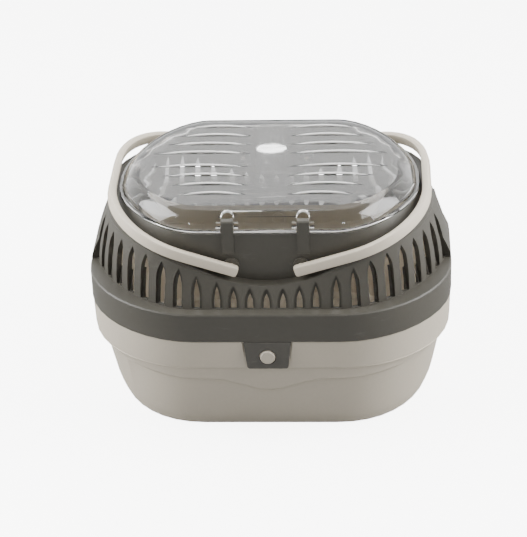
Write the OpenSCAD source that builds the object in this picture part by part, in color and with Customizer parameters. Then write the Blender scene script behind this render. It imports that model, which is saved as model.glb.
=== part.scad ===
// Plastic pet keeper for a small animal: a pale tub, a dark fluted shell that lifts off it,
// a clear louvred lid that hinges at the front, two carrying bows, four lock tabs that hook
// over studs on the tub, and a snap latch behind the lid.
// Lengths are in millimetres, +Z is up and the origin is the centre of the underside.

/* [Tub] */
// Length of the underside
foot_l = 265; // [240:1:275]
// Depth of the underside
foot_w = 200.8; // [180:1:212]
// Height of the tub up to its parting line with the shell
tub_h = 92; // [80:1:110]
// Height of the thicker rim around the top of the tub
rim_h = 27; // [22:0.5:34]
// How far the rim stands proud of the body below it
rim_step = 3; // [1:0.1:5]
// Wall of the tub
tub_wall = 2.3; // [1.8:0.1:3]
// Height of the upstand that locates the shell
spigot_h = 5.5; // [3:0.5:8]
// Height of the moulded wave line at the middle of the front
wave_low = 40; // [30:1:46]
// Height of the wave line towards the corners
wave_high = 52; // [44:1:58]
// Depth of the soft step at the wave line
wave_step = 0.9; // [0.4:0.1:1.5]

/* [Shell] */
// Length over the band, the widest part
band_l = 300; // [280:1:320]
// Depth over the band
band_w = 236.2; // [220:1:250]
// Height of the band
band_h = 25.4; // [18:0.2:32]
// Width of the step from the band to the fluted wall at the front
ledge = 8.7; // [6:0.1:11]
// How far the fluted wall leans in at the sides
side_lean = 14.1; // [10:0.1:20]
// How far the fluted wall leans in at the front
front_lean = 8.4; // [6:0.1:11]
// Height of the lip above the band at the middle of the front
lip_low = 16.4; // [14:0.2:22]
// How much higher the lip runs at the sides
lip_rise = 30; // [20:0.5:32]
// Distance from the middle over which the lip climbs
lip_reach = 115; // [100:1:125]
// Wall of the band and the collar
shell_wall = 2.2; // [1.8:0.1:3]
// Wall of the fluted zone
flute_wall = 4.4; // [3.8:0.1:5]
// Height of the collar top that carries the lid, above the top of the tub
collar_rise = 86.4; // [84:0.2:87]
// How far the plain panel at each end reaches forwards
panel_front = 28; // [20:1:29]
// How far the plain panel at each end reaches back
panel_rear = 20; // [16:1:24]
// How much shorter the straight of the sides is towards the rear
rear_round = 20; // [14:1:22]

/* [Flutes] */
// Spacing of the seven flutes on the straight front
front_pitch = 13.18; // [12:0.1:14]
// Spacing of the flutes round the corners
corner_pitch = 15.7; // [15:0.1:16.6]
// Flutes on each corner
corner_flutes = 9; // [5:1:9]
// Width of a flute's recess
flute_w = 8.6; // [7:0.1:9.4]
// Depth of a flute's recess
flute_depth = 2.4; // [1.5:0.1:3]
// Width of the slot through a flute
slot_w = 4.8; // [3.5:0.1:5.5]

/* [Lid] */
// Gap between the lid's flange and the carrying bows, seen from above
lid_gap = 3.2; // [3:0.1:5]
// Height of the lid's plateau above the top of the tub
lid_rise = 103; // [100:0.5:108]
// How much gentler the plateau slopes at the rear, as a shift of its edge
rear_slope = 9.8; // [4:0.2:14]
// Height of the top face of the flange above the top of the tub
flange_rise = 89.8; // [89.4:0.1:90.4]
// Thickness of the lid
lid_wall = 2; // [1.6:0.1:2.4]
// Width of a louvre at its middle
louvre_w = 5; // [3.5:0.1:6]
// Distance between the louvres
louvre_pitch = 15.8; // [14:0.1:16.4]

/* [Lid hinge] */
// Distance of each hinge hook from the middle
hook_x = 30; // [26:0.5:34]
// Width of a hinge hook
hook_w = 9.6; // [8:0.1:10.5]
// Radius of the lid's hinge pins
pin_r = 1.5; // [1.2:0.05:1.8]
// Height of the hinge axis above the top of the tub
hinge_rise = 92.6; // [92:0.1:93.2]

/* [Bows] */
// Distance of a bow's pivots from the middle
pivot_x = 27.8; // [26:0.2:30]
// Height of the pivots above the top of the tub
pivot_rise = 57.6; // [56:0.2:58.4]
// Width of a bow's bar
bow_w = 6.4; // [5:0.1:6.8]
// Height of a bow's bar
bow_h = 9.2; // [8:0.1:9.6]
// Slope of a bow that lies on its seat, in degrees
bow_slope = 17.2; // [15:0.1:19]
// How far the left bow stands off its seat, in degrees
left_bow_lift = 1.6; // [0:0.1:3]
// Radius of a bow's pivot pins
pivot_r = 2.3; // [1.8:0.1:2.6]

/* [Locks] */
// Half width of a lock tab at its hinge
tab_top = 19.1; // [16:0.1:22]
// Half width of a lock tab at its free end
tab_end = 16.5; // [12:0.1:18]
// Length of a lock tab below its hinge
tab_l = 24.2; // [22:0.1:25]
// Thickness of a lock tab
tab_t = 2.2; // [1.6:0.1:2.4]
// Radius of a stud
stud_r = 6.1; // [4.5:0.1:6.8]
// Gap round a stud in its hole
stud_gap = 0.8; // [0.6:0.1:1.2]
// Half width of the lid latch
latch_half = 12.5; // [8:0.5:16]

/* [Fits] */
// Gap between faces that rest against each other
rest_gap = 0.3; // [0.2:0.05:0.4]
// Radial clearance of pins in their bores
pin_gap = 0.05; // [0.03:0.01:0.1]

/* [Hidden] */

flat_steps = 6;
arc_steps = 10;
round_fn = 48;

// A section is [half length, half depth, half of the straight front, half of the straight
// side, power of the corner]; each corner is a quarter superellipse between the two straights,
// and the rear corners start further forward, which makes the rear rounder than the front.
half_l = band_l / 2;
half_w = band_w / 2;
band_s = [half_l, half_w, 60, 34, 1.86];
wall_foot_s = [half_l - 1.4, half_w - ledge, 60, 4, 1.76];
lip_s = [wall_foot_s[0] - side_lean, wall_foot_s[1] - front_lean, 60, 15, 1.9];
bow_in_s = [lip_s[0] - bow_w - 1.9, lip_s[1] - bow_w + 0.6, 66, 20, 2.1];
bow_s = [bow_in_s[0] + bow_w / 2, bow_in_s[1] + bow_w / 2, 66, 20, 2.1];
lid_s = [bow_in_s[0] - lid_gap, bow_in_s[1] - lid_gap * 0.3, 56, 18, 1.68];
collar_low_s = [bow_in_s[0] - 1, bow_in_s[1] - 3, 62, 20, 1.9];
collar_top_s = [lid_s[0] - 1.1, lid_s[1] - 1.3, 56, 18, 1.68];
tub_foot_s = [foot_l / 2, foot_w / 2, 54.8, 6, 2.12];
rim_top_s = [half_l - 0.5, half_w - 0.5, 60, 34, 1.86];
rim_low_s = [half_l - 0.9, half_w - 3.2, 59, 30, 1.98];
tub_neck_s = [rim_low_s[0] - rim_step, rim_low_s[1] - rim_step / 2, 58, 22, 2];

collar_z = tub_h + collar_rise;
lid_top_z = tub_h + lid_rise;
flange_z = tub_h + flange_rise;
hinge_z = tub_h + hinge_rise;
pivot_z = tub_h + pivot_rise;

band_z = tub_h + rest_gap;
ledge_z = tub_h + band_h + rest_gap;
rim_z = tub_h - rim_h;
lip_z0 = ledge_z + lip_low;
bow_low_z = pivot_z - 1.8 - bow_h / 2 / cos(bow_slope);
bow_run = tan(bow_slope);

hinge_y = -(lid_s[1] - 3.1);
hook_face_y = -(bow_in_s[1] - 0.5);
hook_top_z = hinge_z + 4.8;
notch_half = hook_w / 2 + 0.5;
notch_y = hinge_y + 3.8;
relief_z = hinge_z - 7.1;

tab_axis_z = tub_h - tab_t / 2;
stud_z = tab_axis_z - 13.3;
latch_foot_z = pivot_z + 2;
latch_axis_z = latch_foot_z + rest_gap + 1.2;

function mix(a, b, f) = a + (b - a) * f;
function inset(s, d) = [s[0] - d, s[1] - d, s[2], s[3], s[4]];
function soft(f) = let(g = max(0, min(1, f))) g * g * (3 - 2 * g);

// One point of a section's corner, t from 0 at the front straight to 90 at the side straight
function corner(s, t) = [s[2] + (s[0] - s[2]) * pow(sin(t), 2 / s[4]),
                         s[3] + (s[1] - s[3]) * pow(cos(t), 2 / s[4])];
function quarter(s) = concat([for (i = [0 : flat_steps - 1]) [s[2] * i / flat_steps, s[1]]],
                             [for (i = [0 : arc_steps]) corner(s, 90 * i / arc_steps)]);
function rear_of(s) = [s[0], s[1], s[2], max(0, s[3] - rear_round), s[4]];
// The whole outline, from the middle of the front to the right, the rear and the left
function outline(s) = let(q = quarter(s), r = quarter(rear_of(s)), m = len(q) - 1) concat(
    [for (i = [0 : m]) [q[i][0], -q[i][1]]],
    [for (i = [m : -1 : 0]) r[i]],
    [for (i = [1 : m]) [-r[i][0], r[i][1]]],
    [for (i = [m : -1 : 1]) -q[i]]);
function level(s, z) = [for (p = outline(s)) [p[0], p[1], z]];

// Middle point of a ring
function middle(ring) = [for (k = [0 : 2]) [for (p = ring) p[k]] * [for (p = ring) 1] / len(ring)];

// Heights that change along the length
function lip_z(x) = lip_z0 + lip_rise * pow(sin(90 * min(1, abs(x) / lip_reach)), 2);
function bow_z(x) = bow_low_z + bow_run * (abs(x) - pivot_x);
function seat_z(x) = let(edge = lip_z(x) + 0.4)
    edge + max(0, bow_z(x) - rest_gap - edge) * soft((abs(x) - 35) / 40);
function wave_z(x) = mix(wave_low, wave_high, soft(abs(x) / 46)) + 5 * soft((abs(x) - 60) / 80);
function collar_top_z(y) = mix(relief_z, collar_z, soft((y + 86) / 30));

// A ring at share f of the way up the fluted wall, inset by d
function wall_ring(f, d) = let(s = [wall_foot_s[0] - side_lean * pow(f, 1.5),
                                    wall_foot_s[1] - front_lean * pow(f, 1.1),
                                    60, mix(4, 15, f), mix(1.76, 1.9, f)])
    [for (p = outline(inset(s, d))) [p[0], p[1], mix(ledge_z, lip_z(p[0]), f) - d * 0.45]];
// A ring whose height follows the lip or the bows' seat
function lip_ring(s, dz) = [for (p = outline(s)) [p[0], p[1], lip_z(p[0]) + dz]];
function seat_ring(s, dz) = [for (p = outline(s)) [p[0], p[1], seat_z(p[0]) + dz]];
// A ring on the body of the tub, at share f of the way up to its neck, inset by d
function tub_s(f, d) = inset([for (i = [0 : 4]) mix(tub_foot_s[i], tub_neck_s[i], pow(f, 0.75))], d);
function wave_ring(dz, d) = let(base = outline(tub_s(wave_high / rim_z, d)))
    [for (i = [0 : len(base) - 1])
        let(z = wave_z(base[i][0]) + dz, p = outline(tub_s(z / rim_z, d))[i]) [p[0], p[1], z]];

// Skin over a stack of rings: a tube that closes on itself, or a stack capped at both ends
module skin(rings, tube = false) {
    n = len(rings[0]);
    k = len(rings);
    bands = tube ? k : k - 1;
    walls = [for (j = [0 : bands - 1]) for (i = [0 : n - 1])
        let(a = j * n + i, b = j * n + (i + 1) % n,
            c = ((j + 1) % k) * n + (i + 1) % n, d = ((j + 1) % k) * n + i)
        each [[a, c, b], [a, d, c]]];
    centres = tube ? [] : [middle(rings[0]), middle(rings[k - 1])];
    caps = tube ? [] : [for (i = [0 : n - 1])
        each [[i, (i + 1) % n, k * n], [(k - 1) * n + (i + 1) % n, (k - 1) * n + i, k * n + 1]]];
    polyhedron(points = concat([for (r = rings) each r], centres), faces = concat(walls, caps),
               convexity = 12);
}

// Places its children at the four sides, facing outwards along -Y at the given distances
module at_front() { children(); }
module at_rear() { rotate([0, 0, 180]) children(); }
module at_right() { rotate([0, 0, 90]) children(); }
module at_left() { rotate([0, 0, -90]) children(); }

// Lock tab outline in front view, hinge line at y = 0
module tab_shape(grow = 0) {
    r = 2;
    slope = (tab_top - tab_end) / tab_l;
    polygon([[-tab_top - grow, 0], [tab_top + grow, 0],
             [tab_end + slope * r + grow, -tab_l + r], [-tab_end - slope * r - grow, -tab_l + r]]);
    translate([-tab_end + r, -tab_l - grow])
        square([2 * (tab_end - r), r + grow + 0.5]);
    for (side = [-1, 1])
        translate([side * (tab_end - r + grow + 0.1), -tab_l + r - grow])
            circle(r = r, $fn = round_fn);
}

// A lock tab for a side whose band stands at distance out, rolled at its hinge line
module lock_tab(out) {
    mid = out - tab_t / 2;
    color([0.27, 0.26, 0.24])
        difference() {
            union() {
                translate([0, -mid + tab_t / 2, tab_axis_z])
                    rotate([90, 0, 0]) linear_extrude(tab_t) tab_shape();
                translate([-tab_top, -mid, tab_axis_z])
                    rotate([0, 90, 0]) cylinder(h = 2 * tab_top, r = tab_t / 2, $fn = round_fn);
            }
            translate([0, -mid + tab_t, stud_z])
                rotate([90, 0, 0]) cylinder(h = 2 * tab_t, r = stud_r + stud_gap, $fn = round_fn);
        }
}

// The stud that a lock tab hooks over, with a bevelled rim
module stud(out) {
    proud = 1.4;
    bevel = 0.9;
    translate([0, -out + 6, stud_z]) rotate([90, 0, 0])
        cylinder(h = 6 + proud - bevel, r = stud_r, $fn = round_fn);
    translate([0, -out - proud + bevel, stud_z]) rotate([90, 0, 0])
        cylinder(h = bevel, r1 = stud_r, r2 = stud_r - bevel, $fn = round_fn);
}

// The shallow pocket in the rim behind a lock tab
module tab_pocket(out) {
    translate([0, -out + tab_t + rest_gap, tab_axis_z]) rotate([90, 0, 0])
        linear_extrude(10) {
            tab_shape(1.2);
            translate([-tab_top - 1.2, -1]) square([2 * tab_top + 2.4, 6]);
        }
}

module locks_around() {
    for (q = [[0, half_w], [90, half_l], [180, half_w], [270, half_l]])
        rotate([0, 0, q[0]]) {
            $out = q[1];
            children();
        }
}

module base_tub() {
    spigot_s = inset(band_s, shell_wall + 0.35);
    color([0.80, 0.77, 0.72]) {
        difference() {
            skin([
                level(inset(tub_foot_s, 2.4), 0),
                level(inset(tub_foot_s, 0.8), 0.8),
                level(inset(tub_foot_s, -0.2), 3),
                level(tub_s(0.22, wave_step), 0.22 * rim_z),
                wave_ring(-1.6, wave_step),
                wave_ring(1.6, 0),
                level(tub_neck_s, rim_z - 1.4),
                level(inset(rim_low_s, 0.5), rim_z),
                level(rim_low_s, rim_z + 2),
                level(rim_top_s, tub_h - 0.5),
                level(inset(rim_top_s, 0.5), tub_h),
                level(spigot_s, tub_h),
                level(inset(spigot_s, 0.4), tub_h + spigot_h),
                level(inset(spigot_s, 2.2), tub_h + spigot_h),
                level(inset(spigot_s, 2.2), tub_h - 3),
                level(inset(rim_top_s, tub_wall + 2.4), tub_h - 6),
                level(inset(rim_low_s, tub_wall), rim_z + 2),
                level(inset(tub_neck_s, tub_wall), rim_z - 2.5),
                level(tub_s(0.5, tub_wall + wave_step + 0.4), 0.5 * rim_z),
                level(inset(tub_foot_s, tub_wall + 0.6), 7),
                level(inset(tub_foot_s, tub_wall + 4.2), tub_wall)
            ]);
            locks_around() tab_pocket($out);
        }
        locks_around() stud($out);
    }
}

// Pointed arch of width w and height h, standing on y = 0
module arch(w, h) {
    spring = max(0.3 * h, h - 15);
    steps = 4;
    side = [for (i = [0 : steps]) [w / 2 * (1 - pow(i / steps, 2)), mix(spring, h, i / steps)]];
    polygon(concat([[-w / 2, 0], [w / 2, 0]], side,
                   [for (i = [steps - 1 : -1 : 0]) [-side[i][0], side[i][1]]]));
}

// Arc length along a quarter of the wall's foot, as pairs of length and corner angle
foot_steps = 45;
foot_run = [for (i = 0, s = wall_foot_s[2], p = corner(wall_foot_s, 0); i <= foot_steps;
                 i = i + 1, q = corner(wall_foot_s, 90 * min(i, foot_steps) / foot_steps),
                 s = s + norm(q - p), p = q) [s, 90 * i / foot_steps]];
function foot_at(s, foot) = s <= foot[2] ? [s, foot[1]] : corner(foot, lookup(s, foot_run));
flute_runs = concat([for (k = [0 : 3]) k * front_pitch],
                    [for (k = [0 : corner_flutes - 1]) 3 * front_pitch + 16.2 + k * corner_pitch]);

// One flute's recess and slot, for the point that lies s along the foot from the middle
module flute_cut(s, foot) {
    p = foot_at(s, foot);
    q = foot_at(s + 0.5, foot);
    turn = atan2(p[1] - q[1], q[0] - p[0]);
    rise = lip_z(p[0]) - ledge_z;
    lean = atan(mix(front_lean, side_lean, pow(p[0] / half_l, 4)) / rise);
    h = (rise - 2.4 - 3.4 * min(1, p[0] / 95)) / cos(lean);
    translate([p[0], -p[1], ledge_z + 0.8]) rotate([0, 0, turn]) rotate([90 - lean, 0, 0]) {
        translate([0, 0, -flute_depth]) linear_extrude(14) arch(flute_w, h);
        translate([0, 0, -9]) linear_extrude(20) arch(slot_w, h - 4);
    }
}

module flutes() {
    for (back = [0, 1]) mirror([0, back, 0])
        for (s = flute_runs) let(foot = back ? rear_of(wall_foot_s) : wall_foot_s) {
            flute_cut(s, foot);
            if (s > 0) mirror([1, 0, 0]) flute_cut(s, foot);
        }
}

// The plain panel that closes each end of the fluted wall, just inside the face of the band
module end_panel() {
    top = lip_z(half_l);
    face = half_l - 0.2;
    profile = [[half_l - 7, ledge_z - 1.6], [face, ledge_z - 1.6], [face, ledge_z + 1.5],
               [face - 0.9, ledge_z + 5], [face - 4.2, ledge_z + 12.5], [face - 6.8, ledge_z + 17.5],
               [face - 8.8, ledge_z + 22.5], [face - 10.1, ledge_z + 28], [face - 13.1, top - 8],
               [face - 17, top - 8], [face - 14, ledge_z + 26], [face - 9, ledge_z + 12]];
    intersection() {
        translate([0, panel_rear, 0]) rotate([90, 0, 0])
            linear_extrude(panel_rear + panel_front) polygon(profile);
        translate([0, 0, band_z]) linear_extrude(top) polygon(outline(inset(band_s, 0.3)));
    }
}

// Hinge hook and its strap, as a profile across the front wall
module hook() {
    r = pin_r + pin_gap;
    rear_y = hinge_y + 3.6;
    translate([-hook_w / 2, 0, 0]) rotate([90, 0, 90]) linear_extrude(hook_w)
        difference() {
            polygon([[hook_face_y + 1.2, pivot_z + 10], [hook_face_y, relief_z - 2],
                     [hook_face_y, hook_top_z - 1], [hook_face_y + 1, hook_top_z],
                     [rear_y - 1.4, hook_top_z], [rear_y, hook_top_z - 1.4],
                     [rear_y, hinge_z - 2.6], [hinge_y + r * 0.8, hinge_z - 3.4],
                     [hinge_y + r * 0.8, hinge_z], [hinge_y - r * 0.8, hinge_z],
                     [hinge_y - r * 0.8, relief_z - 1], [-collar_low_s[1] + 1.5, pivot_z + 8]]);
            translate([hinge_y, hinge_z]) circle(r = r, $fn = round_fn);
        }
}

// Boss behind a bow's pivot, its bore cut later
module pivot_boss() {
    translate([0, -collar_low_s[1] + 6, pivot_z]) rotate([90, 0, 0])
        cylinder(h = bow_in_s[1] - collar_low_s[1] + 6 - rest_gap, r = 6.2, $fn = round_fn);
}

module upper_shell() {
    color([0.27, 0.265, 0.245])
        difference() {
            union() {
                skin([
                    level(band_s, band_z),
                    level(band_s, ledge_z - 1.1),
                    level(inset(band_s, 0.9), ledge_z),
                    level(inset(wall_foot_s, -0.1), ledge_z),
                    wall_ring(0.2, 0),
                    wall_ring(0.45, 0),
                    wall_ring(0.72, 0),
                    wall_ring(1, 0),
                    lip_ring(inset(lip_s, 0.7), 0.3),
                    seat_ring(inset(lip_s, 1.5), 0),
                    seat_ring(collar_low_s, 0.1),
                    [for (p = outline(collar_top_s)) [p[0], p[1], collar_top_z(p[1])]],
                    [for (p = outline(inset(collar_top_s, shell_wall))) [p[0], p[1], collar_top_z(p[1])]],
                    seat_ring(inset(collar_low_s, shell_wall), -shell_wall),
                    lip_ring(inset(lip_s, flute_wall), -shell_wall),
                    wall_ring(0.72, flute_wall),
                    wall_ring(0.2, flute_wall),
                    level(inset(wall_foot_s, flute_wall), ledge_z - shell_wall),
                    level(inset(band_s, shell_wall), ledge_z - shell_wall),
                    level(inset(band_s, shell_wall), band_z)
                ], true);
                for (side = [0, 1]) mirror([side, 0, 0]) end_panel();
                for (side = [0, 1]) mirror([0, side, 0])
                    for (x = [-pivot_x, pivot_x]) translate([x, 0, 0]) pivot_boss();
                for (x = [-hook_x, hook_x]) translate([x, 0, 0]) hook();
                translate([-latch_half, collar_low_s[1] - 1.5, latch_foot_z - 4])
                    cube([2 * latch_half, 4.6, 4]);
            }
            flutes();
            for (x = [-pivot_x, pivot_x]) translate([x, half_w, pivot_z])
                rotate([90, 0, 0]) cylinder(h = band_w, r = pivot_r + pin_gap, $fn = round_fn);
        }
}

// Plan of one louvre: straight in front and arched behind, between x0 and x1
module louvre(x0, x1) {
    steps = 8;
    polygon([for (i = [0 : steps]) let(f = i / steps) [mix(x0, x1, f), louvre_w * 4 * f * (1 - f)]]);
}

// The underside of the flange, lower behind the hinge where it rests on the collar
function flange_ring(s, z) = [for (p = outline(s)) [p[0], p[1], z - 0.8 * soft((p[1] + 84) / 30)]];

// A ring of the lid's dome, inset by d, whose rear stands further in than its front
function dome_ring(d, z) = let(back = rear_slope / 2 * d / 17)
    [for (p = outline(inset(lid_s, d) - [0, back, 0, 0, 0])) [p[0], p[1] - back, z]];

module lid() {
    under_z = flange_z - lid_wall;
    dome = lid_top_z - flange_z;
    edges = [70, 77.5, 86, 97.5];
    color([0.80, 0.82, 0.82, 0.4]) {
        difference() {
            skin([
                dome_ring(17.6, lid_top_z - lid_wall),
                dome_ring(12.7, flange_z + 0.87 * dome - lid_wall),
                dome_ring(8.6, flange_z + 0.62 * dome - lid_wall * 0.8),
                dome_ring(5.4, flange_z + 0.3 * dome - lid_wall * 0.5),
                level(inset(lid_s, 4.4), under_z + 0.8),
                flange_ring(inset(lid_s, 2.6), under_z),
                flange_ring(lid_s, under_z),
                level(lid_s, flange_z),
                level(inset(lid_s, 1.9), flange_z + 0.1),
                dome_ring(3.6, flange_z + 0.3 * dome),
                dome_ring(7, flange_z + 0.62 * dome),
                dome_ring(11.5, flange_z + 0.87 * dome),
                dome_ring(17, lid_top_z)
            ]);
            for (x = [-hook_x, hook_x]) translate([x, notch_y, under_z - 5]) {
                cylinder(h = 30, r = notch_half, $fn = round_fn);
                translate([-notch_half, -12, 0]) cube([2 * notch_half, 12, 30]);
            }
            for (side = [0, 1]) mirror([side, 0, 0])
                for (k = [0 : 3]) for (row = [-1, 1])
                    translate([0, row * louvre_pitch * (0.74 + k), lid_top_z - 6])
                        linear_extrude(12) louvre(16.5, edges[3 - k]);
        }
        for (x = [-hook_x, hook_x]) translate([x - notch_half - 3.4, hinge_y, hinge_z])
            rotate([0, 90, 0]) cylinder(h = 2 * notch_half + 6.8, r = pin_r, $fn = round_fn);
        for (x = [-hook_x, hook_x]) for (side = [-1, 1])
            translate([x + side * (notch_half + 1.7) - 1.7, hinge_y, hinge_z])
                rotate([0, 90, 0]) cylinder(h = 3.4, r = pin_r + 1.2, $fn = round_fn);
    }
}

// Rounded bar section of a bow, w across and h high
function bar(w, h, grow) = let(r = 1.9)
    [for (q = [[1, 1, 0], [-1, 1, 90], [-1, -1, 180], [1, -1, 270]]) for (a = [0, 45, 90])
        [q[0] * (w / 2 - r) + r * cos(q[2] + a), q[1] * (h / 2 - r) + r * sin(q[2] + a)] * grow];

// Centre line of a bow from its front end to its rear end, seen from above
bow_arc = 14;
bow_plan = concat([[pivot_x - 5, -bow_s[1]], [pivot_x - 4.6, -bow_s[1]], [pivot_x - 3.4, -bow_s[1]],
                   [pivot_x + 8, -bow_s[1]]],
                  [for (i = [0 : bow_arc]) let(p = corner(bow_s, 90 * i / bow_arc)) [p[0], -p[1]]],
                  [for (i = [bow_arc : -1 : 0]) corner(bow_s, 90 * i / bow_arc)],
                  [[pivot_x + 8, bow_s[1]], [pivot_x - 3.4, bow_s[1]], [pivot_x - 4.6, bow_s[1]],
                   [pivot_x - 5, bow_s[1]]]);

// A carrying bow on the +X side, lying on its seat
module bow() {
    up = [-sin(bow_slope), 0, cos(bow_slope)];
    rise = bow_h / 2 / cos(bow_slope);
    last = len(bow_plan) - 1;
    path = [for (p = bow_plan) [p[0], p[1], bow_z(p[0]) + rise]];
    skin([for (i = [last : -1 : 0])
        let(t = path[min(i + 1, last)] - path[max(i - 1, 0)], side = cross(t, up) / norm(cross(t, up)),
            end = min(i, last - i), grow = end == 0 ? 0.62 : end == 1 ? 0.86 : 1)
        [for (b = bar(bow_w, bow_h, grow)) path[i] + side * b[0] + up * b[1]]]);
    for (end = [-1, 1])
        translate([pivot_x, end * (bow_in_s[1] + 1), pivot_z]) rotate([end * 90, 0, 0])
            cylinder(h = 7.6, r = pivot_r, $fn = round_fn);
}

module left_handle() {
    color([0.86, 0.83, 0.78])
        mirror([1, 0, 0]) translate([pivot_x, 0, pivot_z]) rotate([0, -left_bow_lift, 0])
            translate([-pivot_x, 0, -pivot_z]) bow();
}

module right_handle() {
    color([0.86, 0.83, 0.78]) bow();
}

module lid_latch() {
    y0 = lid_s[1] + 0.6;
    top = flange_z + rest_gap;
    color([0.27, 0.26, 0.24])
        union() {
            translate([-latch_half, 0, 0]) rotate([90, 0, 90]) linear_extrude(2 * latch_half)
                polygon([[y0, latch_axis_z], [y0, top], [y0 - 2.3, top], [y0 - 2.3, top + 0.4],
                         [y0 - 1.1, top + 1.1], [y0 + 1.6, top + 1.1], [y0 + 2.4, top + 0.3],
                         [y0 + 2.4, latch_axis_z]]);
            translate([-latch_half, y0 + 1.2, latch_axis_z])
                rotate([0, 90, 0]) cylinder(h = 2 * latch_half, r = 1.2, $fn = round_fn);
        }
}

module front_lock_tab() { at_front() lock_tab(half_w); }
module rear_lock_tab() { at_rear() lock_tab(half_w); }
module left_lock_tab() { at_left() lock_tab(half_l); }
module right_lock_tab() { at_right() lock_tab(half_l); }

base_tub();
upper_shell();
lid();
left_handle();
right_handle();
lid_latch();
front_lock_tab();
rear_lock_tab();
left_lock_tab();
right_lock_tab();
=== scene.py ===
# A plastic pet keeper for a small animal: pale tub, dark fluted shell, clear louvred lid,
# two carrying bows, four lock tabs and a lid latch. Lengths are in metres, +Z is up, and the
# front of the keeper faces -Y.
import math

import bpy
import numpy as np
from mathutils import Matrix, Vector


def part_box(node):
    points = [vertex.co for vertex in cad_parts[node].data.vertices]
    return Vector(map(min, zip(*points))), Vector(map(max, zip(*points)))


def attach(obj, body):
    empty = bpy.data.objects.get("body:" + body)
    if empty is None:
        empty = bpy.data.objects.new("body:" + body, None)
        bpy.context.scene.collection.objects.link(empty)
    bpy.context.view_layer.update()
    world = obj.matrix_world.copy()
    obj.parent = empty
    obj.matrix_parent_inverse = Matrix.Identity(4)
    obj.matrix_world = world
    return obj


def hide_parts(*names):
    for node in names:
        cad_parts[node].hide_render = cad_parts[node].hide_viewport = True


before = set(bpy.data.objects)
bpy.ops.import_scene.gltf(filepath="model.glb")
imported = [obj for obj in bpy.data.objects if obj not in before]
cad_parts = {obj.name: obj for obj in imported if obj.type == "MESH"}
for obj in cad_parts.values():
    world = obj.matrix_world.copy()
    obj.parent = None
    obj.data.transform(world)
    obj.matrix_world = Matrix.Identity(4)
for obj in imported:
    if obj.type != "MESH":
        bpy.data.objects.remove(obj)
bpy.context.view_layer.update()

bl_info = {
    "name": "Pet keeper finishes",
    "version": (1, 0, 0),
    "blender": (4, 5, 0),
    "location": "3D View > Sidebar > Pet keeper",
    "description": "Dresses the moulded parts of a plastic pet keeper and sets up its studio",
    "category": "Object",
}

WIDTH_PX, HEIGHT_PX = 527, 537
PLATEAU_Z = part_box("lid")[1].z

# Two moulded points are one where they agree to the weld. A ring is found by its height to the
# ring fit, and the rings at the wave line to the wave fit.
WELD = 1e-6
RING_FIT = 0.00003
WAVE_FIT = 0.00002
# The tub's wave line: height at the middle, rise to the sides, and half the height of its step
WAVE_LOW, WAVE_RISE, WAVE_REACH = 0.040, 0.012, 0.046
WAVE_END_RISE, WAVE_END_FROM, WAVE_END_REACH = 0.005, 0.060, 0.080
WAVE_HALF = 0.0016
# What lies within this reach, with the depth stretched to the length, is the tub's inner skin
LENGTH_TO_DEPTH, INSIDE_REACH = 1.25, 0.125
# Outer ends of the louvres, from the inmost row to the outmost
LOUVRE_ENDS = (0.0975, 0.086, 0.0775, 0.070)
# Distance of the first row of louvres from the middle, as a share of the pitch
FIRST_ROW = 0.74


# Settings


class KeeperColours(bpy.types.PropertyGroup):
    shell: bpy.props.FloatVectorProperty(
        name="Shell", description="Colour of the fluted shell and its band", subtype="COLOR",
        size=3, min=0, max=1, default=(0.062, 0.0575, 0.0455))
    tab: bpy.props.FloatVectorProperty(
        name="Lock tabs", description="Colour of the lock tabs and the lid latch", subtype="COLOR",
        size=3, min=0, max=1, default=(0.076, 0.0715, 0.0605))
    tub: bpy.props.FloatVectorProperty(
        name="Tub", description="Colour of the tub", subtype="COLOR",
        size=3, min=0, max=1, default=(0.520, 0.468, 0.380))
    bow: bpy.props.FloatVectorProperty(
        name="Bows", description="Colour of the two carrying bows", subtype="COLOR",
        size=3, min=0, max=1, default=(0.640, 0.572, 0.462))
    lid: bpy.props.FloatVectorProperty(
        name="Lid", description="Tint of the clear lid", subtype="COLOR",
        size=3, min=0, max=1, default=(0.93, 0.925, 0.91))


class KeeperSurfaces(bpy.types.PropertyGroup):
    grain: bpy.props.FloatProperty(
        name="Grain", description="Size of the fine grain that the mould leaves", subtype="DISTANCE",
        unit="LENGTH", min=0.0002, max=0.005, default=0.0009)
    grain_depth: bpy.props.FloatProperty(
        name="Grain depth", description="Strength of the moulded grain", min=0, max=1, default=0.22)
    mottle: bpy.props.FloatProperty(
        name="Mottle", description="How much the colour of the plastic varies", min=0, max=0.5, default=0.07)
    handling: bpy.props.FloatProperty(
        name="Handling", description="How much the surface is rubbed and marked by use", min=0, max=1,
        default=0.35)
    crease: bpy.props.FloatProperty(
        name="Crease angle", description="Edges sharper than this stay crisp", subtype="ANGLE",
        unit="ROTATION", min=0.1, max=1.5, default=math.radians(28))
    soft_step: bpy.props.FloatProperty(
        name="Tub crease angle", description="The same for the tub, whose wave line is a soft step",
        subtype="ANGLE", unit="ROTATION", min=0.1, max=1.5, default=math.radians(12.5))


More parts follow.
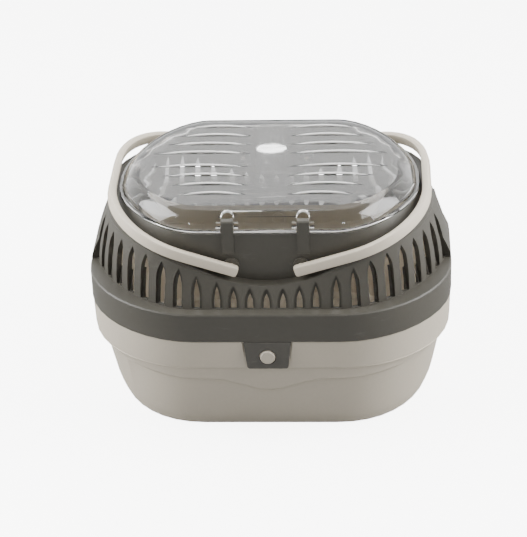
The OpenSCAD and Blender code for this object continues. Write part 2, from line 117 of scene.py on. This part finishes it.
class KeeperTubTrim(bpy.types.PropertyGroup):
    deeper: bpy.props.FloatProperty(
        name="Wave depth", description="How much further in the tub stands below its wave line",
        subtype="DISTANCE", unit="LENGTH", min=0, max=0.001, default=0.0006)
    squeeze: bpy.props.FloatProperty(
        name="Wave crispness", description="Share by which the step at the wave line is shortened",
        min=0, max=0.8, default=0.35)
    rim_foot: bpy.props.FloatProperty(
        name="Rim foot", description="Height of the foot of the tub's rim", subtype="DISTANCE",
        unit="LENGTH", min=0.05, max=0.08, default=0.065)
    rim_bead: bpy.props.FloatProperty(
        name="Rim bead", description="Radius of the rounded edge along the foot of the rim",
        subtype="DISTANCE", unit="LENGTH", min=0.0002, max=0.001, default=0.0005)
    tab_half: bpy.props.FloatProperty(
        name="Tab clearance", description="Half of the gap that the rounded edge leaves for a tab",
        subtype="DISTANCE", unit="LENGTH", min=0.018, max=0.03, default=0.021)


class KeeperLidTrim(bpy.types.PropertyGroup):
    bead: bpy.props.FloatProperty(
        name="Rim bead", description="Radius of the bead behind each louvre", subtype="DISTANCE",
        unit="LENGTH", min=0.0002, max=0.0015, default=0.00095)
    wall: bpy.props.FloatProperty(
        name="Wall", description="Thickness of the solid lid", subtype="DISTANCE", unit="LENGTH",
        min=0.001, max=0.003, default=0.002)
    thinned: bpy.props.FloatProperty(
        name="Plateau wall", description="Thickness of the plateau that shows", subtype="DISTANCE",
        unit="LENGTH", min=0.0008, max=0.003, default=0.0011)
    louvre: bpy.props.FloatProperty(
        name="Louvre height", description="Width of a louvre at its middle", subtype="DISTANCE",
        unit="LENGTH", min=0.002, max=0.008, default=0.005)
    pitch: bpy.props.FloatProperty(
        name="Louvre pitch", description="Distance between the louvres", subtype="DISTANCE",
        unit="LENGTH", min=0.01, max=0.02, default=0.0158)
    start: bpy.props.FloatProperty(
        name="Louvre start", description="Distance of the louvres' inner ends from the middle",
        subtype="DISTANCE", unit="LENGTH", min=0.01, max=0.03, default=0.0165)


class KeeperStudio(bpy.types.PropertyGroup):
    sky: bpy.props.FloatProperty(
        name="Back wall", description="Strength of the white room behind the keeper", min=0, max=10,
        default=2.8)
    dim: bpy.props.FloatProperty(
        name="Camera side", description="Strength of the room on the camera's side", min=0, max=5,
        default=0.3)
    overhead: bpy.props.FloatProperty(
        name="Dark ceiling", description="How much the room darkens overhead", min=0, max=1,
        default=0.45)
    glow: bpy.props.FloatProperty(
        name="Sweep light", description="Light behind the white sweep that the camera sees", min=0,
        max=10, default=6.0)
    bounce: bpy.props.FloatProperty(
        name="Floor bounce", description="Share of the light that the floor throws back up", min=0,
        max=1, default=0.3)
    side: bpy.props.FloatProperty(
        name="Side boxes", description="Power of the soft boxes on the left and right", min=0, max=200,
        default=30.0)
    top: bpy.props.FloatProperty(
        name="Top box", description="Power of the soft box overhead", min=0, max=200, default=3.0)
    front: bpy.props.FloatProperty(
        name="Front lamps", description="Power of the two small lamps in front", min=0, max=50,
        default=2.4)
    glint: bpy.props.FloatProperty(
        name="Back lamp", description="Power of the small lamp whose glint shows on the plateau",
        min=0, max=5, default=0.05)
    glint_place: bpy.props.FloatVectorProperty(
        name="Glint", description="Where on the lid the back lamp is mirrored", subtype="XYZ",
        unit="LENGTH", size=3, default=(0.001, 0.020, PLATEAU_Z))
    floor: bpy.props.FloatVectorProperty(
        name="Floor", description="Colour of the studio floor", subtype="COLOR", size=3, min=0, max=1,
        default=(0.92, 0.92, 0.91))


# Meshes


def mesh_piece(name, points, faces, material, body):
    """A new object from arrays of points and faces, which rides on a body."""
    mesh = bpy.data.meshes.new(name)
    mesh.from_pydata(points.tolist(), [], faces.tolist())
    mesh.polygons.foreach_set("use_smooth", np.ones(len(mesh.polygons), bool))
    mesh.materials.append(material)
    mesh.validate()
    mesh.update()
    piece = bpy.data.objects.new(name, mesh)
    bpy.context.scene.collection.objects.link(piece)
    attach(piece, body)
    return piece


def cad_arrays(node):
    """Points and triangles of a moulded part, with the points that share a place made one.
    Two points are one where their coordinates agree to a thousandth of a millimetre."""
    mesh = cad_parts[node].data
    points = np.empty(len(mesh.vertices) * 3)
    mesh.vertices.foreach_get("co", points)
    points = points.reshape(-1, 3)
    mesh.calc_loop_triangles()
    faces = np.empty(len(mesh.loop_triangles) * 3, int)
    mesh.loop_triangles.foreach_get("vertices", faces)
    keys = np.round(points / WELD).astype(np.int64)
    _, first, same = np.unique(keys, axis=0, return_index=True, return_inverse=True)
    faces = same.reshape(-1)[faces].reshape(-1, 3)
    a, b, c = faces.T
    return points[first], faces[(a != b) & (b != c) & (c != a)]


def dressed(node, name, material, body, crease=None, reshape=None):
    """A moulded part with smooth corners: its own points, welded, with crisp edges only where
    two faces meet at more than the crease angle."""
    points, faces = cad_arrays(node)
    if reshape:
        points = reshape(points)
    piece = mesh_piece(name, points, faces, material, body)
    piece.data.set_sharp_from_angle(angle=crease or bpy.context.scene.keeper_surfaces.crease)
    weighted = piece.modifiers.new("even shading", "WEIGHTED_NORMAL")
    weighted.keep_sharp = True
    weighted.weight = 60
    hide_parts(node)
    return piece


def soft(share):
    """A smooth rise from 0 to 1: s s (3 - 2 s) of the share s, held between 0 and 1."""
    s = np.clip(share, 0, 1)
    return s**2 * (3 - 2 * s)


def sharper_wave(points, deeper, squeeze):
    """Points of the tub whose wave line is a crisper step. The mould's step runs between two
    rings, half a step below and above the line z = low + rise soft(x) + end rise soft(x). Each
    ring point closes in on the line by the share squeeze, and a point of the lower ring also
    moves inwards by deeper."""
    reach = np.abs(points[:, 0])
    wave = (WAVE_LOW + WAVE_RISE * soft(reach / WAVE_REACH)
            + WAVE_END_RISE * soft((reach - WAVE_END_FROM) / WAVE_END_REACH))
    off = points[:, 2] - wave
    lower = np.abs(off + WAVE_HALF) < WAVE_FIT
    upper = np.abs(off - WAVE_HALF) < WAVE_FIT
    moved = points.copy()
    outwards = points[:, :2] / np.linalg.norm(points[:, :2], axis=1, keepdims=True)
    moved[lower, :2] -= outwards[lower] * deeper
    moved[lower, 2] += WAVE_HALF * squeeze
    moved[upper, 2] -= WAVE_HALF * squeeze
    return moved


def thinner_plateau(points, wall, thinned):
    """Points of the lid with the underside of its plateau raised, so that wall becomes thinned and
    the louvres open up when they are seen from a low angle."""
    moved = points.copy()
    under = np.abs(points[:, 2] - (PLATEAU_Z - wall)) < RING_FIT
    moved[under, 2] = PLATEAU_Z - thinned
    return moved


def tube(path, radius, sides=8):
    """A round bead along a path: each path point p gets a ring p + r (cos t U + sin t V), where
    U and V are square to the path's own direction there. The bead tapers to its ends."""
    n = len(path)
    along = np.gradient(path, axis=0)
    along = along / np.linalg.norm(along, axis=1, keepdims=True)
    across = np.cross(along, np.array([0.0, 0.0, 1.0]))
    across = across / np.linalg.norm(across, axis=1, keepdims=True)
    lift = np.cross(across, along)
    t = np.linspace(0, 2 * np.pi, sides, endpoint=False)
    share = np.sqrt(np.clip(np.sin(np.linspace(0, np.pi, n)), 0.02, 1))
    ring = np.cos(t)[None, :, None] * across[:, None] + np.sin(t)[None, :, None] * lift[:, None]
    points = (path[:, None] + radius * share[:, None, None] * ring).reshape(-1, 3)
    i = np.arange(n - 1)[:, None] * sides
    j = np.arange(sides)[None]
    k = (j + 1) % sides
    up = i + sides
    faces = np.stack([i + j, i + k, up + k, up + j], -1).reshape(-1, 4)
    return points, faces


def joined(parts):
    """Several (points, faces) pairs as one pair."""
    offsets = np.cumsum([0] + [len(p) for p, _ in parts[:-1]])
    return (np.concatenate([p for p, _ in parts]),
            np.concatenate([f + o for (_, f), o in zip(parts, offsets)]))


# Node groups


def group(name, inputs, outputs):
    """An empty shader node group with named sockets, and its input and output nodes."""
    made = bpy.data.node_groups.new(name, "ShaderNodeTree")
    for label, kind, value in inputs:
        made.interface.new_socket(name=label, in_out="INPUT", socket_type=kind).default_value = value
    for label, kind in outputs:
        made.interface.new_socket(name=label, in_out="OUTPUT", socket_type=kind)
    return made, made.nodes.new("NodeGroupInput"), made.nodes.new("NodeGroupOutput")


def moulded_skin():
    """Plastic as it leaves the mould. Colour = Base darkened or lightened by a broad noise and by
    fine specks; Height = fine cell grain plus a finer noise; Roughness = Gloss plus noise."""
    name = "moulded skin"
    if name in bpy.data.node_groups:
        return bpy.data.node_groups[name]
    tree, source, sink = group(
        name,
        [("Base", "NodeSocketColor", (0.5, 0.5, 0.5, 1)), ("Grain", "NodeSocketFloat", 900.0),
         ("Mottle", "NodeSocketFloat", 0.08), ("Gloss", "NodeSocketFloat", 0.5),
         ("Handling", "NodeSocketFloat", 0.3)],
        [("Colour", "NodeSocketColor"), ("Roughness", "NodeSocketFloat"), ("Height", "NodeSocketFloat")])
    node, link = tree.nodes.new, tree.links.new
    place = node("ShaderNodeTexCoord")
    cells = node("ShaderNodeTexVoronoi")
    cells.feature = "SMOOTH_F1"
    fine = node("ShaderNodeTexNoise")
    fine.inputs["Detail"].default_value = 3.0
    finer = node("ShaderNodeMath")
    finer.operation = "MULTIPLY"
    finer.inputs[1].default_value = 2.7
    link(source.outputs["Grain"], cells.inputs["Scale"])
    link(source.outputs["Grain"], finer.inputs[0])
    link(finer.outputs[0], fine.inputs["Scale"])
    link(place.outputs["Object"], cells.inputs["Vector"])
    link(place.outputs["Object"], fine.inputs["Vector"])
    height = node("ShaderNodeMath")
    height.operation = "MULTIPLY_ADD"
    height.inputs[1].default_value = 0.55
    link(fine.outputs["Fac"], height.inputs[0])
    link(cells.outputs["Distance"], height.inputs[2])
    link(height.outputs[0], sink.inputs["Height"])
    broad = node("ShaderNodeTexNoise")
    broad.inputs["Scale"].default_value = 16.0
    broad.inputs["Detail"].default_value = 5.0
    link(place.outputs["Object"], broad.inputs["Vector"])
    specks = node("ShaderNodeTexNoise")
    specks.inputs["Scale"].default_value = 420.0
    specks.inputs["Detail"].default_value = 2.0
    link(place.outputs["Object"], specks.inputs["Vector"])
    both = node("ShaderNodeMath")
    both.operation = "ADD"
    link(broad.outputs["Fac"], both.inputs[0])
    link(specks.outputs["Fac"], both.inputs[1])
    swing = node("ShaderNodeMath")
    swing.operation = "SUBTRACT"
    swing.inputs[1].default_value = 1.0
    link(both.outputs[0], swing.inputs[0])
    gain = node("ShaderNodeMath")
    gain.operation = "MULTIPLY_ADD"
    gain.inputs[2].default_value = 1.0
    link(swing.outputs[0], gain.inputs[0])
    link(source.outputs["Mottle"], gain.inputs[1])
    tint = node("ShaderNodeMix")
    tint.data_type = "RGBA"
    tint.blend_type = "MULTIPLY"
    tint.inputs["Factor"].default_value = 1.0
    grey = node("ShaderNodeCombineColor")
    for channel in ("Red", "Green", "Blue"):
        link(gain.outputs[0], grey.inputs[channel])
    link(source.outputs["Base"], tint.inputs["A"])
    link(grey.outputs["Color"], tint.inputs["B"])
    scuffs = node("ShaderNodeTexNoise")
    scuffs.inputs["Scale"].default_value = 38.0
    scuffs.inputs["Detail"].default_value = 8.0
    scuffs.inputs["Roughness"].default_value = 0.72
    stretch = node("ShaderNodeMapping")
    stretch.inputs["Scale"].default_value = (1.0, 1.0, 3.4)
    stretch.inputs["Rotation"].default_value = (0.3, 0.2, 0.4)
    link(place.outputs["Object"], stretch.inputs["Vector"])
    link(stretch.outputs["Vector"], scuffs.inputs["Vector"])
    rubbed = node("ShaderNodeMapRange")
    rubbed.inputs["From Min"].default_value = 0.60
    rubbed.inputs["From Max"].default_value = 0.78
    link(scuffs.outputs["Fac"], rubbed.inputs["Value"])
    worn = node("ShaderNodeMath")
    worn.operation = "MULTIPLY"
    link(rubbed.outputs["Result"], worn.inputs[0])
    link(source.outputs["Handling"], worn.inputs[1])
    paler = node("ShaderNodeMix")
    paler.data_type = "RGBA"
    paler.blend_type = "SCREEN"
    paler.inputs["B"].default_value = (0.10, 0.10, 0.095, 1)
    link(worn.outputs[0], paler.inputs["Factor"])
    link(tint.outputs["Result"], paler.inputs["A"])
    link(paler.outputs["Result"], sink.inputs["Colour"])
    rough = node("ShaderNodeMath")
    rough.operation = "MULTIPLY_ADD"
    rough.inputs[1].default_value = 0.16
    link(broad.outputs["Fac"], rough.inputs[0])
    link(source.outputs["Gloss"], rough.inputs[2])
    dull = node("ShaderNodeMath")
    dull.operation = "MULTIPLY_ADD"
    dull.use_clamp = True
    dull.inputs[1].default_value = -0.12
    link(worn.outputs[0], dull.inputs[0])
    link(rough.outputs[0], dull.inputs[2])
    link(dull.outputs[0], sink.inputs["Roughness"])
    return tree


def fine_scratches():
    """Hairline scratches on clear plastic. Height = stretched noise cut to thin lines in two
    directions; Haze = a broad noise that roughens the surface a little."""
    name = "fine scratches"
    if name in bpy.data.node_groups:
        return bpy.data.node_groups[name]
    tree, source, sink = group(
        name, [("Amount", "NodeSocketFloat", 0.3), ("Gloss", "NodeSocketFloat", 0.03)],
        [("Height", "NodeSocketFloat"), ("Haze", "NodeSocketFloat")])
    node, link = tree.nodes.new, tree.links.new
    place = node("ShaderNodeTexCoord")
    lines = []
    for turn in (0.5, -0.9):
        mapping = node("ShaderNodeMapping")
        mapping.inputs["Rotation"].default_value = (0, 0, turn)
        mapping.inputs["Scale"].default_value = (30, 1100, 200)
        noise = node("ShaderNodeTexNoise")
        noise.inputs["Scale"].default_value = 1.0
        noise.inputs["Detail"].default_value = 1.0
        thin = node("ShaderNodeMapRange")
        thin.inputs["From Min"].default_value = 0.66
        thin.inputs["From Max"].default_value = 0.72
        link(place.outputs["Object"], mapping.inputs["Vector"])
        link(mapping.outputs["Vector"], noise.inputs["Vector"])
        link(noise.outputs["Fac"], thin.inputs["Value"])
        lines.append(thin.outputs["Result"])
    both = node("ShaderNodeMath")
    both.operation = "MAXIMUM"
    link(lines[0], both.inputs[0])
    link(lines[1], both.inputs[1])
    amount = node("ShaderNodeMath")
    amount.operation = "MULTIPLY"
    link(both.outputs[0], amount.inputs[0])
    link(source.outputs["Amount"], amount.inputs[1])
    link(amount.outputs[0], sink.inputs["Height"])
    cloud = node("ShaderNodeTexNoise")
    cloud.inputs["Scale"].default_value = 22.0
    cloud.inputs["Detail"].default_value = 4.0
    link(place.outputs["Object"], cloud.inputs["Vector"])
    haze = node("ShaderNodeMath")
    haze.operation = "MULTIPLY_ADD"
    haze.inputs[1].default_value = 0.025
    link(cloud.outputs["Fac"], haze.inputs[0])
    link(source.outputs["Gloss"], haze.inputs[2])
    link(haze.outputs[0], sink.inputs["Haze"])
    return tree


# Materials


def new_material(name):
    """A node material and its Principled shader."""
    material = bpy.data.materials.new(name)
    material.use_nodes = True
    return material, material.node_tree.nodes["Principled BSDF"]


def moulded(name, colour, gloss, specular=0.5, depth=1.0):
    """Opaque moulded plastic in one colour."""
    if name in bpy.data.materials:
        return bpy.data.materials[name]
    surfaces = bpy.context.scene.keeper_surfaces
    material, shader = new_material(name)
    tree = material.node_tree
    skin = tree.nodes.new("ShaderNodeGroup")
    skin.node_tree = moulded_skin()
    skin.inputs["Base"].default_value = (*colour, 1)
    skin.inputs["Grain"].default_value = 1 / surfaces.grain
    skin.inputs["Mottle"].default_value = surfaces.mottle
    skin.inputs["Gloss"].default_value = gloss
    skin.inputs["Handling"].default_value = surfaces.handling
    bump = tree.nodes.new("ShaderNodeBump")
    bump.inputs["Strength"].default_value = surfaces.grain_depth * depth
    bump.inputs["Distance"].default_value = 0.0002
    tree.links.new(skin.outputs["Height"], bump.inputs["Height"])
    tree.links.new(bump.outputs["Normal"], shader.inputs["Normal"])
    tree.links.new(skin.outputs["Colour"], shader.inputs["Base Color"])
    tree.links.new(skin.outputs["Roughness"], shader.inputs["Roughness"])
    shader.inputs["Specular IOR Level"].default_value = specular
    shader.inputs["IOR"].default_value = 1.49
    return material


def clear(name, gloss, amount, transmission=1.0):
    """Clear plastic with fine scratches and a little haze. A low transmission makes it a nearly opaque pale
    plastic, which on the louvre beads is a painted highlight.
    """
    if name in bpy.data.materials:
        return bpy.data.materials[name]
    material, shader = new_material(name)
    tree = material.node_tree
    marks = tree.nodes.new("ShaderNodeGroup")
    marks.node_tree = fine_scratches()
    marks.inputs["Gloss"].default_value = gloss
    marks.inputs["Amount"].default_value = amount
    bump = tree.nodes.new("ShaderNodeBump")
    bump.inputs["Strength"].default_value = 0.12
    bump.inputs["Distance"].default_value = 0.0001
    tree.links.new(marks.outputs["Height"], bump.inputs["Height"])
    tree.links.new(bump.outputs["Normal"], shader.inputs["Normal"])
    tree.links.new(marks.outputs["Haze"], shader.inputs["Roughness"])
    shader.inputs["Base Color"].default_value = (*bpy.context.scene.keeper_colours.lid, 1)
    shader.inputs["Transmission Weight"].default_value = transmission
    shader.inputs["IOR"].default_value = 1.49
    return material


# Operators


class KEEPER_OT_tub(bpy.types.Operator):
    """Dress the pale tub in satin moulded plastic"""
    bl_idname = "keeper.tub"
    bl_label = "Tub"

    def rim_bead(self, trim):
        """A rounded edge along the foot of the tub's rim, in four runs between the lock tabs. Its
        path is the outermost ring of the moulding at the height of the rim's foot."""
        points, _ = cad_arrays("base_tub")
        ring = points[np.abs(points[:, 2] - trim.rim_foot) < RING_FIT]
        ring = ring[np.hypot(ring[:, 0], ring[:, 1] * LENGTH_TO_DEPTH) > INSIDE_REACH]
        ring = ring[np.argsort(np.arctan2(ring[:, 1], ring[:, 0]))]
        clear_of_tabs = (np.abs(ring[:, 0]) > trim.tab_half) & (np.abs(ring[:, 1]) > trim.tab_half)
        runs = []
        for across in (-1, 1):
            for along in (-1, 1):
                side = (np.sign(ring[:, 0]) == across) & (np.sign(ring[:, 1]) == along)
                path = ring[clear_of_tabs & side]
                runs.append(tube(path, trim.rim_bead, sides=10))
        return joined(runs)

    def execute(self, context):
        colour = context.scene.keeper_colours.tub
        surfaces, trim = context.scene.keeper_surfaces, context.scene.keeper_tub_trim
        plastic = moulded("pale tub plastic", colour, 0.40)
        dressed("base_tub", "tub_moulding", plastic, "tub", surfaces.soft_step,
                lambda points: sharper_wave(points, trim.deeper, trim.squeeze))
        points, faces = self.rim_bead(trim)
        mesh_piece("rim_bead", points, faces, plastic, "tub")
        return {"FINISHED"}


class KEEPER_OT_shell(bpy.types.Operator):
    """Dress the dark fluted shell in matte moulded plastic"""
    bl_idname = "keeper.shell"
    bl_label = "Fluted shell"

    def execute(self, context):
        colour = context.scene.keeper_colours.shell
        dressed("upper_shell", "shell_moulding", moulded("dark shell plastic", colour, 0.42, 0.55),
                "shell")
        return {"FINISHED"}


class KEEPER_OT_bows(bpy.types.Operator):
    """Dress the two carrying bows"""
    bl_idname = "keeper.bows"
    bl_label = "Carrying bows"

    def execute(self, context):
        material = moulded("pale bow plastic", context.scene.keeper_colours.bow, 0.38)
        dressed("left_handle", "left_bow_moulding", material, "left_bow")
        dressed("right_handle", "right_bow_moulding", material, "right_bow")
        return {"FINISHED"}


class KEEPER_OT_locks(bpy.types.Operator):
    """Give the lock tabs and the lid latch their plastic"""
    bl_idname = "keeper.locks"
    bl_label = "Lock tabs and latch"

    def execute(self, context):
        material = moulded("dark tab plastic", context.scene.keeper_colours.tab, 0.44, 0.5)
        for name in ("front_lock_tab", "rear_lock_tab", "left_lock_tab", "right_lock_tab", "lid_latch"):
            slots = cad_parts[name].data.materials
            slots.clear()
            slots.append(material)
        return {"FINISHED"}


class KEEPER_OT_lid(bpy.types.Operator):
    """Dress the clear lid and bead its louvres"""
    bl_idname = "keeper.lid"
    bl_label = "Clear lid"

    def execute(self, context):
        trim = context.scene.keeper_lid_trim
        dressed("lid", "lid_moulding", clear("clear lid plastic", 0.004, 0.5), "lid",
                reshape=lambda points: thinner_plateau(points, trim.wall, trim.thinned))
        parts = []
        for k, end in enumerate(LOUVRE_ENDS):
            for row in (-1, 1):
                for side in (-1, 1):
                    f = np.linspace(0, 1, 25)
                    x = side * (trim.start + (end - trim.start) * f)
                    y = row * trim.pitch * (FIRST_ROW + k) + trim.louvre * 4 * f * (1 - f)
                    z = np.full(25, PLATEAU_Z - trim.bead)
                    parts.append(tube(np.stack([x, y, z], 1), trim.bead))
        # The beads are a nearly opaque pale plastic rather than clear: their whiteness is a painted
        # highlight along the back edge of each louvre
        points, faces = joined(parts)
        mesh_piece("louvre_beads", points, faces, clear("polished louvre edge", 0.12, 0.2, 0.12),
                   "lid")
        return {"FINISHED"}


class KEEPER_OT_studio(bpy.types.Operator):
    """Set up the floor, the lights and the camera"""
    bl_idname = "keeper.studio"
    bl_label = "Studio"

    def soft_box(self, name, place, target, size, power, shape="RECTANGLE"):
        """An area light at place that faces target."""
        data = bpy.data.lights.new(name, "AREA")
        data.shape = shape
        data.size, data.size_y = size
        data.energy = power
        light = bpy.data.objects.new(name, data)
        light.location = place
        light.rotation_mode = "QUATERNION"
        light.rotation_quaternion = (Vector(target) - Vector(place)).to_track_quat("-Z", "Y")
        bpy.context.scene.collection.objects.link(light)

    def sweep(self, studio):
        """White sweep: lit from behind where the camera sees it, and a quieter floor for the
        light that it throws back on to the keeper."""
        material, shader = new_material("studio floor")
        tree = material.node_tree
        shader.inputs["Base Color"].default_value = (*studio.floor, 1)
        shader.inputs["Roughness"].default_value = 0.9
        shader.inputs["Specular IOR Level"].default_value = 0.1
        shader.inputs["Emission Color"].default_value = (1, 1, 1, 1)
        shader.inputs["Emission Strength"].default_value = studio.glow
        quiet = tree.nodes.new("ShaderNodeBsdfDiffuse")
        quiet.inputs["Color"].default_value = (studio.bounce, studio.bounce, studio.bounce, 1)
        rays = tree.nodes.new("ShaderNodeLightPath")
        both = tree.nodes.new("ShaderNodeMixShader")
        tree.links.new(rays.outputs["Is Camera Ray"], both.inputs[0])
        tree.links.new(quiet.outputs[0], both.inputs[1])
        tree.links.new(shader.outputs[0], both.inputs[2])
        tree.links.new(both.outputs[0], tree.nodes["Material Output"].inputs["Surface"])
        return material

    def execute(self, context):
        studio = context.scene.keeper_studio
        world = bpy.data.worlds.new("white room")
        world.use_nodes = True
        tree = world.node_tree
        place = tree.nodes.new("ShaderNodeTexCoord")
        backwards = tree.nodes.new("ShaderNodeVectorMath")
        backwards.operation = "DOT_PRODUCT"
        backwards.inputs[1].default_value = (0, 1, -studio.overhead)
        ramp = tree.nodes.new("ShaderNodeMapRange")
        ramp.interpolation_type = "SMOOTHSTEP"
        ramp.inputs["From Min"].default_value = -0.75
        ramp.inputs["From Max"].default_value = 0.85
        ramp.inputs["To Min"].default_value = studio.dim
        ramp.inputs["To Max"].default_value = studio.sky
        tree.links.new(place.outputs["Generated"], backwards.inputs[0])
        tree.links.new(backwards.outputs["Value"], ramp.inputs["Value"])
        tree.nodes["Background"].inputs["Color"].default_value = (1, 1, 1, 1)
        tree.links.new(ramp.outputs["Result"], tree.nodes["Background"].inputs["Strength"])
        context.scene.world = world
        half = 6.0
        mesh = bpy.data.meshes.new("studio_floor")
        mesh.from_pydata([(-half, -half, 0), (half, -half, 0), (half, half, 0), (-half, half, 0)], [],
                         [(0, 1, 2, 3)])
        mesh.materials.append(self.sweep(studio))
        floor = bpy.data.objects.new("studio_floor", mesh)
        context.scene.collection.objects.link(floor)
        for name, hand in (("left", -1), ("right", 1)):
            self.soft_box(name + " box", (hand * 1.1, -0.1, 0.75), (0, 0, 0.08), (0.8, 1.0), studio.side)
        self.soft_box("top box", (0.0, 0.35, 1.3), (0, 0, 0.1), (1.1, 0.6), studio.top)
        for name, hand in (("left", -1), ("right", 1)):
            self.soft_box("front lamp " + name, (hand * 0.75, -1.5, 1.15), (0, 0, 0.12), (0.17, 0.09),
                          studio.front)
        eye = self.camera(context)
        place = Vector(studio.glint_place)
        ray = (place - eye).normalized()
        mirrored = Vector((ray.x, ray.y, -ray.z))
        self.soft_box("back lamp", place + 1.5 * mirrored, place, (0.047, 0.014), studio.glint,
                      "ELLIPSE")
        return {"FINISHED"}

    def camera(self, context):
        """The camera looks at the middle of the keeper from in front, a little from the right and
        from above, turned slightly about its own axis."""
        elevation, yaw, roll = 0.537538, 0.0574095, -0.0336748
        distance, focal_px, centre_px = 1.72148, 2021.58, (273.034, 268.809)
        turn = Matrix.Rotation(yaw, 3, "Z")
        forward = turn @ Vector((0, math.cos(elevation), -math.sin(elevation)))
        right = turn @ Vector((1, 0, 0))
        up = turn @ Vector((0, math.sin(elevation), math.cos(elevation)))
        level_x = right * math.cos(roll) + up * math.sin(roll)
        level_y = up * math.cos(roll) - right * math.sin(roll)
        pose = Matrix((level_x, level_y, -forward)).transposed().to_4x4()
        pose.translation = Vector((0, 0, 0.09)) - forward * distance
        data = bpy.data.cameras.new("view camera")
        data.sensor_width = 36.0
        data.lens = focal_px * data.sensor_width / HEIGHT_PX
        data.shift_x = (WIDTH_PX / 2 - centre_px[0]) / HEIGHT_PX
        data.shift_y = (centre_px[1] - HEIGHT_PX / 2) / HEIGHT_PX
        data.clip_start, data.clip_end = 0.1, 50
        camera = bpy.data.objects.new("view camera", data)
        camera.matrix_world = pose
        context.scene.collection.objects.link(camera)
        context.scene.camera = camera
        return pose.translation.copy()


class KEEPER_PT_panel(bpy.types.Panel):
    """Sizes, colours and steps of the pet keeper"""
    bl_idname = "KEEPER_PT_panel"
    bl_label = "Pet keeper"
    bl_space_type = "VIEW_3D"
    bl_region_type = "UI"
    bl_category = "Pet keeper"

    def draw(self, context):
        for label, group_name in (("Colours", "keeper_colours"), ("Surfaces", "keeper_surfaces"),
                                  ("Tub trim", "keeper_tub_trim"),
                                  ("Lid trim", "keeper_lid_trim"), ("Studio", "keeper_studio")):
            box = self.layout.box()
            box.label(text=label)
            settings = getattr(context.scene, group_name)
            for key in settings.__annotations__:
                box.prop(settings, key)
        for operator in OPERATORS:
            self.layout.operator(operator.bl_idname)


GROUPS = {"keeper_colours": KeeperColours, "keeper_surfaces": KeeperSurfaces,
          "keeper_tub_trim": KeeperTubTrim,
          "keeper_lid_trim": KeeperLidTrim, "keeper_studio": KeeperStudio}
OPERATORS = (KEEPER_OT_tub, KEEPER_OT_shell, KEEPER_OT_bows, KEEPER_OT_locks, KEEPER_OT_lid,
             KEEPER_OT_studio)


def register():
    for cls in (*GROUPS.values(), *OPERATORS, KEEPER_PT_panel):
        bpy.utils.register_class(cls)
    for name, cls in GROUPS.items():
        setattr(bpy.types.Scene, name, bpy.props.PointerProperty(type=cls))


def unregister():
    for name in GROUPS:
        delattr(bpy.types.Scene, name)
    for cls in reversed((*GROUPS.values(), *OPERATORS, KEEPER_PT_panel)):
        bpy.utils.unregister_class(cls)


def main():
    register()
    bpy.ops.keeper.tub()
    bpy.ops.keeper.shell()
    bpy.ops.keeper.bows()
    bpy.ops.keeper.locks()
    bpy.ops.keeper.lid()
    bpy.ops.keeper.studio()


if __name__ == "__main__":
    main()
